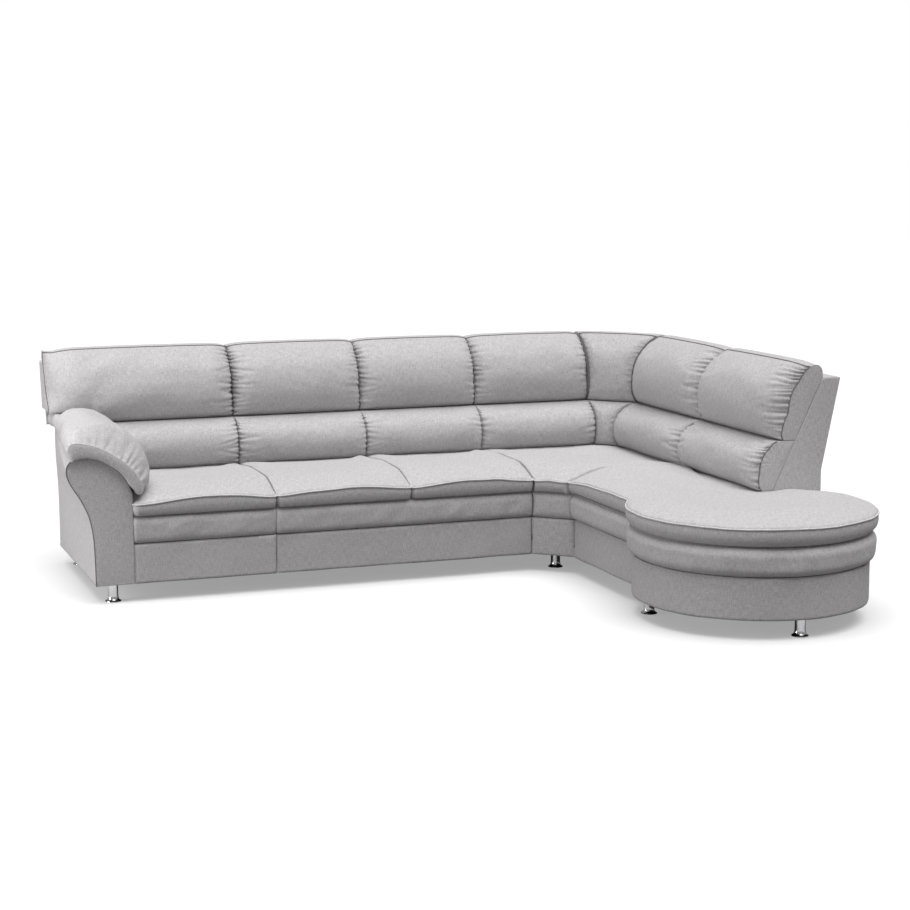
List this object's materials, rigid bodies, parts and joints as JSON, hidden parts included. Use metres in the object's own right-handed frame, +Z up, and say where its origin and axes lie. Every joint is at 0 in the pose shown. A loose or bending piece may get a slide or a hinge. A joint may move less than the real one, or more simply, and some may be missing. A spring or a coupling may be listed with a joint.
{
  "type": "corner sofa",
  "caption": "L-shaped upholstered corner sofa with a padded flared arm, split back cushions, a slanted inner corner and a side wing that ends in an open rounded seat, on round chrome feet.",
  "frame": {"origin": "on the floor, under the middle of the whole sofa seen from above", "axes": "+X along the long side from the arm to the corner, +Y from the seat front to the back, +Z up"},
  "size_m": [3.1403, 2.583, 1.0025],
  "materials": {
    "upholstery": "woven melange upholstery fabric, light warm grey",
    "chrome_feet": "polished",
    "steel_fittings": "zinc plated",
    "frame_wood": "planed beech and plywood",
    "underside_lining": "black spun lining",
    "belt_webbing": "elastic webbing",
    "seat_foam": "open-cell foam"
  },
  "bodies": {
    "root": {"arm_body": "upholstery", "arm_frame": "frame_wood", "arm_pad": "upholstery", "corner_back_frame": "frame_wood", "corner_base_frame": "frame_wood", "corner_front_panel": "upholstery", "corner_front_roll": "upholstery", "corner_left_head_cushion": "upholstery", "corner_left_lumbar_cushion": "upholstery", "corner_rear_cover": "upholstery", "corner_right_head_cushion": "upholstery", "corner_right_lumbar_cushion": "upholstery", "corner_seat_core": "seat_foam", "corner_seat_cushion": "upholstery", "corner_shelf": "upholstery", "corner_wedge_head_cushion": "upholstery", "corner_wedge_lumbar_cushion": "upholstery", "double_back_frame": "frame_wood", "double_base_frame": "frame_wood", "double_front_panel": "upholstery", "double_front_roll": "upholstery", "double_left_head_cushion": "upholstery", "double_left_lumbar_cushion": "upholstery", "double_left_seat_cushion": "upholstery", "double_rear_cover": "upholstery", "double_right_head_cushion": "upholstery", "double_right_lumbar_cushion": "upholstery", "double_right_seat_cushion": "upholstery", "double_seat_core": "seat_foam", "foot_plates": "chrome_feet", "foot_studs": "steel_fittings", "foot_tubes": "chrome_feet", "hook_plates": "steel_fittings", "seat_belts": "belt_webbing", "single_back_frame": "frame_wood", "single_base_frame": "frame_wood", "single_end_panel": "upholstery", "single_front_panel": "upholstery", "single_front_roll": "upholstery", "single_head_cushion": "upholstery", "single_lumbar_cushion": "upholstery", "single_rear_cover": "upholstery", "single_seat_core": "seat_foam", "single_seat_cushion": "upholstery", "slot_plates": "steel_fittings", "underside_cloths": "underside_lining", "wing_back_frame": "frame_wood", "wing_base_frame": "frame_wood", "wing_bent_rail": "frame_wood", "wing_end_panel": "upholstery", "wing_front_panel": "upholstery", "wing_front_roll": "upholstery", "wing_head_cushion": "upholstery", "wing_lumbar_cushion": "upholstery", "wing_rear_cover": "upholstery", "wing_seat_core": "seat_foam", "wing_seat_cushion": "upholstery"}
  },
  "joints": []
}
